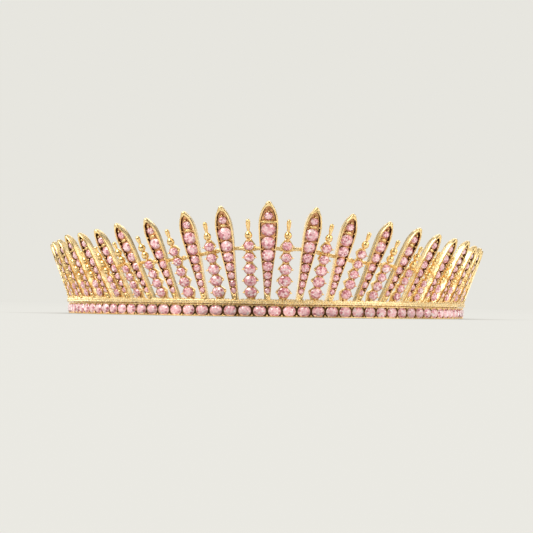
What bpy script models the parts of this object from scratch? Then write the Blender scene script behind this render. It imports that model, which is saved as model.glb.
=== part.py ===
"""Fringe tiara: a horseshoe base band with a row of round stones, and a fringe of
stone-set blades and columns that stands on it. Metres, +Z up, front towards -Y."""

import math

import bmesh
import bpy
from mathutils import Matrix, Vector
from mathutils.geometry import tessellate_polygon

# Base: one flat circle that the whole tiara follows
FACE_RADIUS = 0.0750
BAND_INNER_RADIUS = 0.0714
BAND_WALL = 0.0013
BAND_HALF_ANGLE = math.radians(116)
RAIL_BOTTOM = 0.0044
RAIL_TOP = 0.0057
RAIL_OUTER_RADIUS = 0.07515
TAIL_LIP = 0.0004
TAIL_START = math.radians(91)
TAIL_ROUNDING = math.radians(5)
TAIL_END_DROP = 0.0020
LEDGE_FADE = math.radians(3)
BAND_STEPS = 56
GAP = 0.0003

# Base row: a channel strip of round stones under the rail
ROW_HALF_COUNT = 25
ROW_FIRST_PITCH = math.radians(3.95)
ROW_CLOSING = 0.0042
ROW_STONE_DIAMETER = 0.0041
ROW_CROWDING = 0.94
ROW_HEIGHT = 0.0041
ROW_LIP = 0.00015
ROW_FLOOR_RADIUS = 0.0739
ROW_LIP_RADIUS = 0.0747

# Stones: a table over a ring of eight crown facets
FACETS = 8
TABLE_RATIO = 0.55
CROWN_RATIO = 0.22

# Fringe: every blade and column starts on the base circle and leans outwards
FOOT_LEVEL = 0.0052
FLARE = math.radians(18.6)
FRINGE_PITCH = math.radians(8.4)
FRINGE_CLOSING = 0.0083
PIECE_DEPTH = 0.0024

# Blades, by place from the middle: height above the foot level, sideways lean in
# degrees, greatest width, and the diameters of the stones from the tip down
BLADE_ROWS = (
    dict(height=35.3, lean=0.0, width=6.8, stones=(2.7, 4.4, 4.2, 4.0, 3.4, 2.6, 2.4, 2.2)),
    dict(height=33.4, lean=6.9, width=5.9, stones=(2.5, 4.3, 3.7, 3.3, 2.9, 2.4, 2.2, 2.1)),
    dict(height=31.5, lean=9.3, width=5.6, stones=(2.6, 4.0, 3.6, 2.8, 2.5, 2.3, 2.2, 2.0)),
    dict(height=29.2, lean=15.3, width=5.0, stones=(2.4, 3.6, 3.0, 2.6, 2.4, 2.3, 2.1)),
    dict(height=27.5, lean=19.4, width=4.9, stones=(2.4, 3.2, 3.0, 2.6, 2.3, 2.1, 2.0)),
    dict(height=25.6, lean=19.9, width=4.7, stones=(2.4, 3.0, 2.8, 2.6, 2.3, 2.1, 2.0)),
    dict(height=24.5, lean=20.2, width=4.6, stones=(2.4, 2.9, 2.8, 2.6, 2.3, 2.1, 2.0)),
    dict(height=24.0, lean=20.2, width=4.5, stones=(2.4, 2.8, 2.7, 2.5, 2.2, 2.0, 2.0)),
    dict(height=22.5, lean=20.0, width=4.5, stones=(2.4, 2.8, 2.6, 2.4, 2.2, 2.0)),
    dict(height=22.0, lean=19.5, width=4.4, stones=(2.4, 2.8, 2.6, 2.4, 2.2, 2.0)),
    dict(height=21.4, lean=19.0, width=4.4, stones=(2.4, 2.8, 2.6, 2.4, 2.2, 2.0)),
)
BLADE_WIDEST_AT = 0.24
BLADE_TIP_LEVELS = (0.0, 0.025, 0.07, 0.14)
BLADE_TIP_HALF = 0.0005
BLADE_TIP_DEPTHS = ((0.0, 0.5), (0.03, 0.68), (0.08, 0.88), (0.16, 1.0), (1.0, 1.0))
BLADE_TIP_ROUNDING = 0.95
BLADE_FOOT_HALF = 0.0010
BLADE_TAPER = ((0.24, 1.0), (0.40, 0.85), (0.60, 0.50), (0.73, 0.27), (0.90, 0.09), (1.0, 0.0))
BLADE_RIM = 0.00045
CHANNEL_DEPTH = 0.0011
CHANNEL_TOP_AT = 0.055
CHANNEL_TOP_HALF = 0.0006
CHANNEL_FOOT = 0.0024
STONE_MARGIN = 0.00005
FIRST_STONE_DROP = 0.0017
FIRST_STONE_AT = 0.10
FIRST_STONE_SPACE = 0.0009
LAST_STONE_LEVEL = 0.0037
FINE_STONE = 0.00255

# Columns, by place from the middle: height, lean, finial length, number of beads and
# the diameters of the stones from the top down
COLUMN_ROWS = (
    dict(height=28.9, lean=1.8, finial=4.4, beads=1, stones=(3.3, 3.3, 3.8, 4.1, 4.0)),
    dict(height=27.7, lean=7.9, finial=3.9, beads=1, stones=(3.3, 3.3, 3.8, 4.0, 4.0)),
    dict(height=25.1, lean=14.1, finial=3.3, beads=1, stones=(3.1, 3.0, 3.2, 3.6, 3.7)),
    dict(height=22.7, lean=17.5, finial=3.1, beads=2, stones=(3.2, 3.2, 3.4, 3.4)),
    dict(height=20.7, lean=19.5, finial=2.8, beads=2, stones=(3.0, 3.0, 3.0, 3.0)),
    dict(height=19.2, lean=20.2, finial=2.5, beads=3, stones=(2.8, 2.8, 2.8)),
    dict(height=17.8, lean=20.4, finial=2.5, beads=3, stones=(3.4, 3.4)),
    dict(height=17.3, lean=20.2, finial=2.5, beads=3, stones=(3.1, 3.1)),
    dict(height=16.8, lean=19.8, finial=2.5, beads=3, stones=(2.8, 2.8)),
    dict(height=16.4, lean=19.2, finial=2.5, beads=3, stones=(2.5, 2.5)),
)
COLUMN_FRONT = 0.0006
COLUMN_FOOT_SPACE = 0.00105
COLUMN_NECK = 0.00075
CLAW_SHARE = 1.32
NECK_HALF = 0.0006
BEAD_SIDES = 10
BEAD_DIAMETER = 0.0024
BEAD_HEIGHT = 0.0025
BEAD_SPACE = 0.0003
BEAD_NECK_RADIUS = 0.0004
BEAD_DEPTH = 0.00105
BEAD_LATITUDE = math.radians(32)
FINIAL_RADIUS = 0.00075
FINIAL_TIP_RADIUS = 0.00025
FINIAL_WIDEST_AT = 0.55

# Link wire: a thin bar behind the fringe
WIRE_RADIUS = 0.00055
WIRE_SPACE = 0.00055
WIRE_SIDES = 6
WIRE_SHARES = ((0.0, 0.51), (1.0, 0.53), (2.5, 0.46), (10.0, 0.44))

MM = 0.001
GOLD = (0.83, 0.60, 0.27, 1.0)
ROSE = (0.86, 0.42, 0.55, 1.0)


def clear_scene():
    for obj in list(bpy.data.objects):
        bpy.data.objects.remove(obj, do_unlink=True)


def principled(name, colour, roughness, metallic):
    material = bpy.data.materials.new(name)
    material.use_nodes = True
    shader = material.node_tree.nodes["Principled BSDF"]
    shader.inputs["Base Color"].default_value = colour
    shader.inputs["Roughness"].default_value = roughness
    shader.inputs["Metallic"].default_value = metallic
    return material


def finish_mesh(name, bm, parent, stone_faces=()):
    """Close the mesh into an object with its own gold and, where it has stones, rose."""
    bm.normal_update()
    bmesh.ops.recalc_face_normals(bm, faces=bm.faces)
    for face in stone_faces:
        face.material_index = 1
    mesh = bpy.data.meshes.new(name)
    bm.to_mesh(mesh)
    bm.free()
    mesh.materials.append(principled(name + "_gold", GOLD, 0.22, 1.0))
    if stone_faces:
        mesh.materials.append(principled(name + "_stones", ROSE, 0.05, 0.0))
    obj = bpy.data.objects.new(name, mesh)
    bpy.context.scene.collection.objects.link(obj)
    obj.parent = parent
    return obj


def fill(bm, loops):
    """Fill one outline and the holes inside it with triangles."""
    verts = [vert for loop in loops for vert in loop]
    for corners in tessellate_polygon([[vert.co for vert in loop] for loop in loops]):
        bm.faces.new([verts[index] for index in corners])


def wall(bm, lower, upper):
    """Join two loops of the same length with a closed ring of quads."""
    count = len(lower)
    return [bm.faces.new((lower[i], lower[(i + 1) % count], upper[(i + 1) % count], upper[i]))
            for i in range(count)]


def ring(bm, points):
    return [bm.verts.new(point) for point in points]


def stone_ring(bm, seat, radius, rise=0.0):
    """A ring of points round a seat, which is a centre and its across, up and out axes."""
    centre, across, up, out = seat
    angles = [math.tau * (i + 0.5) / FACETS for i in range(FACETS)]
    return ring(bm, [centre + across * (radius * math.cos(angle))
                     + up * (radius * math.sin(angle)) + out * rise for angle in angles])


def set_stones(bm, face_loop, seats):
    """Fill a flat face round its stones, and raise each one's crown and table from it."""
    girdles = [stone_ring(bm, seat, radius) for seat, radius in seats]
    fill(bm, [face_loop] + girdles)
    stone_faces = []
    for girdle, (seat, radius) in zip(girdles, seats):
        table = stone_ring(bm, seat, radius * TABLE_RATIO, 2 * radius * CROWN_RATIO)
        stone_faces += wall(bm, girdle, table)
        stone_faces.append(bm.faces.new(table))
    return stone_faces


def piece_seats(levels, radii, depth):
    """Seats on the middle line of a blade or column, facing out of its front."""
    axes = (Vector((1, 0, 0)), Vector((0, 0, 1)), Vector((0, -1, 0)))
    return [((Vector((0, depth, level)),) + axes, radius) for level, radius in zip(levels, radii)]


def band_section(angle):
    """The band's corners in (radius, height) at one angle: wall, ledge and top."""
    wall_radius = BAND_INNER_RADIUS + BAND_WALL
    past_row = min(max((abs(angle) - TAIL_START) / LEDGE_FADE, 0.0), 1.0)
    tail_radius = wall_radius + TAIL_LIP
    ledge = RAIL_OUTER_RADIUS + (tail_radius - RAIL_OUTER_RADIUS) * past_row
    to_end = (BAND_HALF_ANGLE - abs(angle)) / TAIL_ROUNDING
    drop = 0.0
    if to_end < 1.0:
        drop = TAIL_END_DROP * (1.0 - math.sqrt(1.0 - (1.0 - to_end) ** 2))
    top = RAIL_TOP - drop
    shoulder = RAIL_BOTTOM - drop
    return ((BAND_INNER_RADIUS, drop), (wall_radius, drop), (wall_radius, shoulder),
            (ledge, shoulder), (ledge, top), (BAND_INNER_RADIUS, top))


def polar(radius, angle, height):
    return Vector((radius * math.sin(angle), -radius * math.cos(angle), height))


def band_angles():
    """Even steps round the horseshoe, with finer ones where the tails begin and end."""
    even = [BAND_HALF_ANGLE * (2.0 * i / BAND_STEPS - 1.0) for i in range(BAND_STEPS + 1)]
    extra = [TAIL_START, TAIL_START + LEDGE_FADE]
    extra += [BAND_HALF_ANGLE - TAIL_ROUNDING * step for step in (0.12, 0.4)]
    return sorted(even + extra + [-angle for angle in extra])


def make_band(parent):
    bm = bmesh.new()
    loops = [ring(bm, [polar(radius, angle, height) for radius, height in band_section(angle)])
             for angle in band_angles()]
    for here, there in zip(loops, loops[1:]):
        wall(bm, here, there)
    bm.faces.new(loops[0])
    bm.faces.new(loops[-1])
    return finish_mesh("band", bm, parent)


def fringe_angle(place):
    return FRINGE_PITCH * place * (1.0 - FRINGE_CLOSING * abs(place))


def row_angle(place):
    return ROW_FIRST_PITCH * place * (1.0 - ROW_CLOSING * abs(place))


def make_base_row(parent):
    """A curved channel strip with one flat cell and one stone for each place."""
    bm = bmesh.new()
    places = [i - ROW_HALF_COUNT + 0.5 for i in range(2 * ROW_HALF_COUNT)]
    edges = [row_angle(place - 0.5) for place in places] + [row_angle(ROW_HALF_COUNT)]
    back = BAND_INNER_RADIUS + BAND_WALL + GAP
    section = ((ROW_FLOOR_RADIUS, ROW_LIP), (ROW_LIP_RADIUS, ROW_LIP), (ROW_LIP_RADIUS, 0.0),
               (back, 0.0), (back, ROW_HEIGHT), (ROW_LIP_RADIUS, ROW_HEIGHT),
               (ROW_LIP_RADIUS, ROW_HEIGHT - ROW_LIP), (ROW_FLOOR_RADIUS, ROW_HEIGHT - ROW_LIP))
    loops = [ring(bm, [polar(radius, angle, height) for radius, height in section])
             for angle in edges]
    up = Vector((0, 0, 1))
    stones = []
    for place, here, there in zip(places, loops, loops[1:]):
        for i in range(len(section) - 1):
            bm.faces.new((here[i], here[i + 1], there[i + 1], there[i]))
        angle = row_angle(place)
        pitch = (there[0].co - here[0].co).length
        floor_radius = math.sqrt(ROW_FLOOR_RADIUS ** 2 - pitch ** 2 / 4)
        out = polar(1.0, angle, 0.0)
        seat = (polar(floor_radius, angle, ROW_HEIGHT / 2), up.cross(out), up, out)
        radius = min(ROW_STONE_DIAMETER, ROW_CROWDING * pitch) / 2
        cell = [here[0], there[0], there[-1], here[-1]]
        stones += set_stones(bm, cell, [(seat, radius)])
    bm.faces.new(loops[0])
    bm.faces.new(loops[-1])
    return finish_mesh("base_row", bm, parent, stones)


def piece_frame(place, lean):
    """Axes and foot point of a blade or column: x along the base, y inwards, z up it."""
    angle = fringe_angle(place)
    outwards = Vector((math.sin(angle), -math.cos(angle), 0.0))
    along = Vector((math.cos(angle), math.sin(angle), 0.0))
    slant = Vector((0, 0, 1)) * math.cos(FLARE) + outwards * math.sin(FLARE)
    tilt = math.copysign(lean, place)
    x_axis = along * math.cos(tilt) - slant * math.sin(tilt)
    z_axis = slant * math.cos(tilt) + along * math.sin(tilt)
    y_axis = z_axis.cross(x_axis)
    rotation = Matrix((x_axis, y_axis, z_axis)).transposed()
    return rotation, polar(FACE_RADIUS, angle, FOOT_LEVEL)


def stand(obj, rotation, foot):
    obj.rotation_euler = rotation.to_euler()
    obj.location = foot


def seat_on_rail(rotation, corners):
    """Move foot corners along the piece until they lie one gap above the rail's flat top."""
    level = RAIL_TOP + GAP - FOOT_LEVEL
    for corner in corners:
        x, y, _ = corner.co
        corner.co.z = (level - x * rotation[2][0] - y * rotation[2][1]) / rotation[2][2]


def slanted(row):
    """A piece's length along its own leaning axis."""
    return row["height"] * MM / math.cos(math.radians(row["lean"]))


def between(table, value):
    """The value of a table of pairs at one place, on straight lines between its rows."""
    for (low, low_value), (high, high_value) in zip(table, table[1:]):
        if value <= high:
            return low_value + (high_value - low_value) * (value - low) / (high - low)
    return table[-1][1]


def blade_half_width(at, widest):
    """Half the blade's width at a share of its length from the tip."""
    if at < BLADE_WIDEST_AT:
        rise = (1.0 - (1.0 - at / BLADE_WIDEST_AT) ** 2) ** BLADE_TIP_ROUNDING
        return BLADE_TIP_HALF + (widest - BLADE_TIP_HALF) * rise
    return BLADE_FOOT_HALF + (widest - BLADE_FOOT_HALF) * between(BLADE_TAPER, at)


def both_sides(levels):
    """A closed outline from (half width, height) levels, down one side and up the other."""
    right = [(half, height) for half, height in levels]
    left = [(-half, height) for half, height in reversed(levels)]
    return right + left


def blade_stone_levels(length, diameters):
    """Heights of the stones: a bar's space under the first, then evenly parted."""
    first = length - (FIRST_STONE_DROP + FIRST_STONE_AT * length)
    span = first - LAST_STONE_LEVEL
    steps = [(a + b) / 2 for a, b in zip(diameters, diameters[1:])]
    steps[0] += FIRST_STONE_SPACE
    space = (span - sum(steps)) / len(steps)
    levels = [first]
    for step in steps:
        levels.append(levels[-1] - step - space)
    return levels


def stone_radius(level, diameter, length, widest):
    """A stone's radius, made small enough for its eight corners to lie inside the rim."""
    radius = diameter / 2
    for _ in range(20):
        inside = True
        for turn in (0.5, 1.5, -0.5, -1.5):
            angle = math.tau * turn / FACETS
            at = 1.0 - (level + radius * math.sin(angle)) / length
            limit = blade_half_width(at, widest) - BLADE_RIM - STONE_MARGIN
            inside = inside and radius * math.cos(angle) < limit
        if inside:
            break
        radius *= 0.98
    return radius


def blade_channel(shares, length, widest):
    """The channel's outline inside the rim, from its pointed top to just above the foot."""
    top = CHANNEL_TOP_AT * length
    levels = [(CHANNEL_TOP_HALF, length - top)]
    for share in shares:
        if CHANNEL_TOP_AT < share < 1.0:
            levels.append((blade_half_width(share, widest) - BLADE_RIM, length * (1.0 - share)))
    levels.append((BLADE_FOOT_HALF - BLADE_RIM, CHANNEL_FOOT))
    return both_sides(levels)


def make_blade(name, place, row, parent):
    bm = bmesh.new()
    rotation, foot = piece_frame(place, math.radians(row["lean"]))
    length = slanted(row)
    widest = row["width"] * MM / 2
    shares = list(BLADE_TIP_LEVELS) + [share for share, _ in BLADE_TAPER]
    outline = both_sides([(blade_half_width(at, widest), length * (1.0 - at)) for at in shares])
    front = ring(bm, [(x, 0.0, z) for x, z in outline])
    back = ring(bm, [(x, PIECE_DEPTH * between(BLADE_TIP_DEPTHS, 1.0 - z / length), z)
                     for x, z in outline])
    foot_corner = len(shares) - 1
    seat_on_rail(rotation, [loop[i] for loop in (front, back) for i in (foot_corner, foot_corner + 1)])
    channel = blade_channel(shares, length, widest)
    rim = ring(bm, [(x, 0.0, z) for x, z in channel])
    floor = ring(bm, [(x, CHANNEL_DEPTH, z) for x, z in channel])
    fill(bm, [front, rim])
    wall(bm, rim, floor)
    wall(bm, front, back)
    fill(bm, [back])
    diameters = [diameter * MM for diameter in row["stones"]]
    levels = blade_stone_levels(length, diameters)
    main = [(level, stone_radius(level, diameter, length, widest))
            for level, diameter in zip(levels, diameters) if diameter > FINE_STONE]
    seats = piece_seats([level for level, _ in main], [radius for _, radius in main], CHANNEL_DEPTH)
    stones = set_stones(bm, floor, seats)
    obj = finish_mesh(name, bm, parent, stones)
    stand(obj, rotation, foot)


def column_levels(length, row, diameters):
    """Heights of the stones from the top down, and of the beads above them."""
    level = length - row["finial"] * MM - BEAD_HEIGHT / 2
    bead_levels = []
    for _ in range(row["beads"]):
        bead_levels.append(level)
        level -= BEAD_HEIGHT + BEAD_SPACE
    neck = level + BEAD_HEIGHT / 2 + BEAD_SPACE - COLUMN_NECK
    first = neck - diameters[0] / 2
    last = COLUMN_FOOT_SPACE + diameters[-1] / 2
    step = (first - last) / (len(diameters) - 1)
    return [first - step * i for i in range(len(diameters))], bead_levels, neck


def make_column(name, place, row, parent):
    bm = bmesh.new()
    rotation, foot = piece_frame(place, math.radians(row["lean"]))
    length = slanted(row)
    diameters = [diameter * MM for diameter in row["stones"]]
    stone_levels, bead_levels, neck = column_levels(length, row, diameters)
    necks = [(upper + lower) / 2 for upper, lower in zip(stone_levels, stone_levels[1:])] + [0.0]
    right = [(NECK_HALF, neck + COLUMN_NECK / 2)]
    for diameter, level, below in zip(diameters, stone_levels, necks):
        right.append((CLAW_SHARE * diameter / 2, level))
        right.append((NECK_HALF, below))
    outline = both_sides(right)
    front = ring(bm, [(x, COLUMN_FRONT, z) for x, z in outline])
    back = ring(bm, [(x, PIECE_DEPTH, z) for x, z in outline])
    foot_corner = len(right) - 1
    seat_on_rail(rotation, [loop[i] for loop in (front, back) for i in (foot_corner, foot_corner + 1)])
    for i in range(len(outline) - 1):
        bm.faces.new((front[i], front[i + 1], back[i + 1], back[i]))
    fill(bm, [back])
    radii = [diameter / 2 for diameter in diameters]
    stones = set_stones(bm, front, piece_seats(stone_levels, radii, COLUMN_FRONT))
    add_finial(bm, [front[0], front[-1], back[-1], back[0]], bead_levels, length, row["finial"] * MM)
    obj = finish_mesh(name, bm, parent, stones)
    stand(obj, rotation, foot)


def add_finial(bm, top, bead_levels, length, finial):
    """Beads and a drop-shaped finial, turned in one piece from the column's flat top."""
    half = BEAD_HEIGHT / 2 * math.sin(BEAD_LATITUDE)
    wide = BEAD_DIAMETER / 2 * math.cos(BEAD_LATITUDE) / math.cos(math.pi / BEAD_SIDES)
    profile = [(BEAD_NECK_RADIUS, top[0].co.z)]
    for level in reversed(bead_levels):
        profile += [(wide, level - half), (wide, level + half)]
        profile.append((BEAD_NECK_RADIUS, level + BEAD_HEIGHT / 2))
    profile.append((FINIAL_RADIUS, length - FINIAL_WIDEST_AT * finial))
    profile.append((FINIAL_TIP_RADIUS, length))
    loops = []
    for radius, height in profile:
        loops.append(ring(bm, [(radius * math.cos(math.tau * i / BEAD_SIDES),
                                BEAD_DEPTH + radius * math.sin(math.tau * i / BEAD_SIDES), height)
                               for i in range(BEAD_SIDES)]))
    for lower, upper in zip(loops, loops[1:]):
        wall(bm, lower, upper)
    bm.faces.new(loops[-1])
    fill(bm, [top, loops[0]])


def fringe_rows():
    """Every blade and column in order round the base: name, place and table row."""
    half = len(BLADE_ROWS) - 1
    blades = [("blade_%02d" % (place + half + 1), place, BLADE_ROWS[abs(place)])
              for place in range(-half, half + 1)]
    columns = [("column_%02d" % (step + half + 1), step + 0.5, COLUMN_ROWS[int(abs(step + 0.5))])
               for step in range(-half, half)]
    return blades, columns


def wire_height(place):
    """The wire's height above the foot level: a share of the blades beside it."""
    low = BLADE_ROWS[int(abs(place))]["height"]
    high = BLADE_ROWS[math.ceil(abs(place))]["height"]
    return (low + high) / 2 * MM * between(WIRE_SHARES, abs(place))


def make_link_wire(parent):
    """A bar that runs just behind the backs of the blades and columns."""
    blades, columns = fringe_rows()
    behind = PIECE_DEPTH + WIRE_SPACE + WIRE_RADIUS
    points = []
    for _, place, row in sorted(blades + columns, key=lambda entry: entry[1]):
        lean = math.radians(row["lean"])
        rotation, foot = piece_frame(place, lean)
        points.append(foot + rotation @ Vector((0.0, behind, wire_height(place) / math.cos(lean))))
    bm = bmesh.new()
    loops = []
    for i, point in enumerate(points):
        before = points[max(i - 1, 0)]
        after = points[min(i + 1, len(points) - 1)]
        forward = (after - before).normalized()
        upright = (Vector((0, 0, 1)) - forward * forward.z).normalized()
        across = forward.cross(upright)
        loops.append(ring(bm, [point + (upright * math.sin(math.tau * j / WIRE_SIDES)
                                        + across * math.cos(math.tau * j / WIRE_SIDES)) * WIRE_RADIUS
                               for j in range(WIRE_SIDES)]))
    for here, there in zip(loops, loops[1:]):
        wall(bm, here, there)
    bm.faces.new(loops[0])
    bm.faces.new(loops[-1])
    return finish_mesh("link_wire", bm, parent)


def centre_on_footprint(parent):
    """Move everything so that the origin is under the middle of the bounding box."""
    bpy.context.view_layer.update()
    corners = [obj.matrix_world @ vert.co for obj in bpy.data.objects if obj.type == "MESH"
               for vert in obj.data.vertices]
    for axis in (0, 1):
        values = [corner[axis] for corner in corners]
        parent.location[axis] = -(min(values) + max(values)) / 2


def build():
    clear_scene()
    tiara = bpy.data.objects.new("tiara", None)
    bpy.context.scene.collection.objects.link(tiara)
    make_band(tiara)
    make_base_row(tiara)
    blades, columns = fringe_rows()
    for name, place, row in blades:
        make_blade(name, place, row, tiara)
    for name, place, row in columns:
        make_column(name, place, row, tiara)
    make_link_wire(tiara)
    centre_on_footprint(tiara)


build()
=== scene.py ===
"""Fringe tiara, finished: gold settings, faceted rose stones, a pale floor and soft light.
Shapes are made in millimetres and placed in the frame in metres."""

import math
import random

import bmesh
import bpy
from mathutils import Matrix, Vector
from mathutils.geometry import tessellate_polygon


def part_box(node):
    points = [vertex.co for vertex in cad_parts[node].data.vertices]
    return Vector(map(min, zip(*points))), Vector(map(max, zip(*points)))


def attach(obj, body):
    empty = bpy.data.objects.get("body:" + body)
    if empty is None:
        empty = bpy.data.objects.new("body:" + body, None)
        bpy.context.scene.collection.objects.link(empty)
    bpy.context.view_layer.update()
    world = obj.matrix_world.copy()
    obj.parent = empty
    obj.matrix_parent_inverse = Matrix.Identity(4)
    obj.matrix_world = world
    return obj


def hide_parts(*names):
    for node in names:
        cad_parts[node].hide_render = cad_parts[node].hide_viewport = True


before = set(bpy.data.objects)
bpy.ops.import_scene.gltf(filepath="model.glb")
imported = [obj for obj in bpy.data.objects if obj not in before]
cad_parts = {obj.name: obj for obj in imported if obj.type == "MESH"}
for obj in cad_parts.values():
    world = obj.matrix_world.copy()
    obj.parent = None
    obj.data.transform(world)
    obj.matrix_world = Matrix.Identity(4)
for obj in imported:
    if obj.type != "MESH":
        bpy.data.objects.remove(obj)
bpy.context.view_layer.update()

# Metres in a millimetre
MM = 0.001

# Places of the golds and of the stones' tones in their tables. The stones' tones paint lit, middle,
# shaded and glinting facets
POLISHED, CAST, PAINTED_RECESS_SHADOW, PAINTED_SHADE, MIRROR, PAINTED_LIT_GOLD = range(6)
LIGHT, MID, SHADED_FACET, GLINT_FACET = range(4)

# Base: one flat circle that the whole tiara follows. Radii are from its centre, heights
# from the floor
FACE_RADIUS = 75.0
BAND_INNER_RADIUS = 71.4
BAND_WALL = 1.3
BAND_HALF_ANGLE = math.radians(116)
RAIL_BOTTOM = 4.4
RAIL_TOP = 5.7
RAIL_OUTER_RADIUS = 75.15
TAIL_LIP = 0.4
TAIL_START = math.radians(91)
TAIL_ROUNDING = math.radians(5)
TAIL_END_DROP = 2.0
LEDGE_FADE = math.radians(3)
BAND_STEPS = 232
BAND_EDGE = 0.14

# Edges of the swept sections: share of a side that a corner may take, and how much of
# the sharp corner stays
CORNER_REACH = 0.3
CORNER_PULL = 0.4

# Cast grains along the rail, in rows of a radius and height each. A grain's place within
# the pitch, its height and its size vary
GRAIN_PITCH = 0.85
GRAIN_ROWS = ((75.1, 4.62), (75.1, 5.25), (74.9, 5.82))
GRAIN_PLAY = (0.2, 0.8)
GRAIN_LIFT = 0.08
GRAIN_SIZES = (0.30, 0.46)
GRAIN_STRETCH = (1.2, 1.0, 0.6)
GRAIN_SIDES = 6
GRAIN_RINGS = 4

# Base row: fifty stones, crowding a little towards the ends, in a channel with two lips
ROW_HALF_COUNT = 25
ROW_FIRST_PITCH = math.radians(3.95)
ROW_CLOSING = 0.0042
ROW_STONE_DIAMETER = 4.16
ROW_CROWDING = 0.95
ROW_STONE_PLAY = 0.04
ROW_STRETCH = (1.07, 0.98)
ROW_SEAT_RISE = 0.28
ROW_CUP_DEPTH = 0.34
ROW_CUP_LIP = 0.0
ROW_HEIGHT = 4.1
ROW_LIP = 0.34
ROW_EDGE = 0.07
ROW_SINK = 0.05
ROW_FLOOR_RADIUS = 73.9
ROW_FLOOR_MARGIN = 0.1
ROW_LIP_RADIUS = 74.7
ROW_PRONG_RISE = 0.40
ROW_PRONG_EDGE = 0.55
ROW_PRONG = dict(radii=(0.34, 0.34, 0.40), sides=10, rings=6)
ROW_STEPS_PER_STONE = 4

# Fringe: blades and columns stand on the rail and flare outwards, closer towards the ends
FOOT_LEVEL = 5.2
FOOT_SINK = 0.35
FLARE = math.radians(18.6)
FRINGE_PITCH = math.radians(8.4)
FRINGE_CLOSING = 0.0083
PIECE_DEPTH = 2.4
BLADE_FOOT_ZONE = 0.5
COLUMN_FOOT_ZONE = 0.1

# Blades, by place from the middle: height above the foot level, sideways lean in
# degrees, greatest width, and the diameters of the stones from the tip down
BLADE_ROWS = (
    dict(height=35.3, lean=0.0, width=6.8, stones=(2.7, 4.4, 4.2, 4.0, 3.4, 2.6, 2.4, 2.2)),
    dict(height=33.4, lean=6.9, width=5.9, stones=(2.5, 4.3, 3.7, 3.3, 2.9, 2.4, 2.2, 2.1)),
    dict(height=31.5, lean=9.3, width=5.6, stones=(2.6, 4.0, 3.6, 2.8, 2.5, 2.3, 2.2, 2.0)),
    dict(height=29.2, lean=15.3, width=5.0, stones=(2.4, 3.6, 3.0, 2.6, 2.4, 2.3, 2.1)),
    dict(height=27.5, lean=19.4, width=4.9, stones=(2.4, 3.2, 3.0, 2.6, 2.3, 2.1, 2.0)),
    dict(height=25.6, lean=19.9, width=4.7, stones=(2.4, 3.0, 2.8, 2.6, 2.3, 2.1, 2.0)),
    dict(height=24.5, lean=20.2, width=4.6, stones=(2.4, 2.9, 2.8, 2.6, 2.3, 2.1, 2.0)),
    dict(height=24.0, lean=20.2, width=4.5, stones=(2.4, 2.8, 2.7, 2.5, 2.2, 2.0, 2.0)),
    dict(height=22.5, lean=20.0, width=4.5, stones=(2.4, 2.8, 2.6, 2.4, 2.2, 2.0)),
    dict(height=22.0, lean=19.5, width=4.4, stones=(2.4, 2.8, 2.6, 2.4, 2.2, 2.0)),
    dict(height=21.4, lean=19.0, width=4.4, stones=(2.4, 2.8, 2.6, 2.4, 2.2, 2.0)),
)

# A blade's outline, in shares of its length from the tip
BLADE_WIDEST_AT = 0.24
BLADE_TIP_HALF = 0.5
BLADE_TIP_RADIUS = 0.9
BLADE_TIP_DEPTHS = ((0.0, 0.5), (0.015, 0.62), (0.04, 0.76), (0.08, 0.9), (0.14, 1.0), (1.0, 1.0))
BLADE_TIP_ROUNDING = 0.9
BLADE_FOOT_HALF = 1.0
BLADE_TAPER = ((0.24, 1.0), (0.40, 0.85), (0.60, 0.50), (0.73, 0.27), (0.90, 0.09), (1.0, 0.0))
BLADE_STEPS = 34
BLADE_STEP_CROWDING = 1.4
BLADE_SMOOTHING = 0.05
# The back's edge: share of the way in, and rise from the back
BLADE_BACK_LOOPS = ((0.18, 0.0), (0.0, 0.14))

# The rim by share of the length, and the sunk channel inside it
BLADE_RIMS = ((0.0, 0.62), (0.25, 0.56), (0.50, 0.42), (0.75, 0.30), (1.0, 0.26))
CHANNEL_DEPTH = 1.1
CHANNEL_TOP_AT = 0.05
CHANNEL_INSET = 0.30
CHANNEL_NARROW = 0.55
CHANNEL_FOOT = 2.6
# How the channel closes at both ends: the share of the length it takes, and the power
CHANNEL_OPENING = (0.025, 0.6)
CHANNEL_CLOSING = (0.03, 0.5)
CHANNEL_LEAST = 0.35
# The rim's section: share of the way in from the outer edge, and depth from the front
RIM_SECTION = ((0.0, 0.50), (0.03, 0.28), (0.13, 0.12), (0.32, 0.02),
               (0.58, 0.0), (0.80, 0.07), (0.94, 0.20), (1.0, 0.42))

# A blade's stones, from the first under the tip to the last above the foot
BLADE_STONE_SCALE = 1.06
BLADE_STONE_MARGIN = 0.12
BLADE_SEAT_DEPTHS = (0.82, 0.46)
BLADE_CUP_DEPTH = 0.30
BLADE_CUP_LIP = 0.05
FIRST_STONE_DROP = 1.7
FIRST_STONE_AT = 0.10
FIRST_STONE_SPACE = 0.9
LAST_STONE_LEVEL = 3.7
BLADE_PRONG_INSET = 0.12

# The bar under a blade's first stone. On the middle blade it laps over both rims
BAR_THICKNESS = (0.55, 0.45)
BAR_SIDES = 14
BAR_RINGS = 8
BAR_SHARE = 0.6
BAR_DEPTH = 0.66
MIDDLE_BAR_LAP = 0.3
MIDDLE_BAR_DEPTH = 0.40

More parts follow.
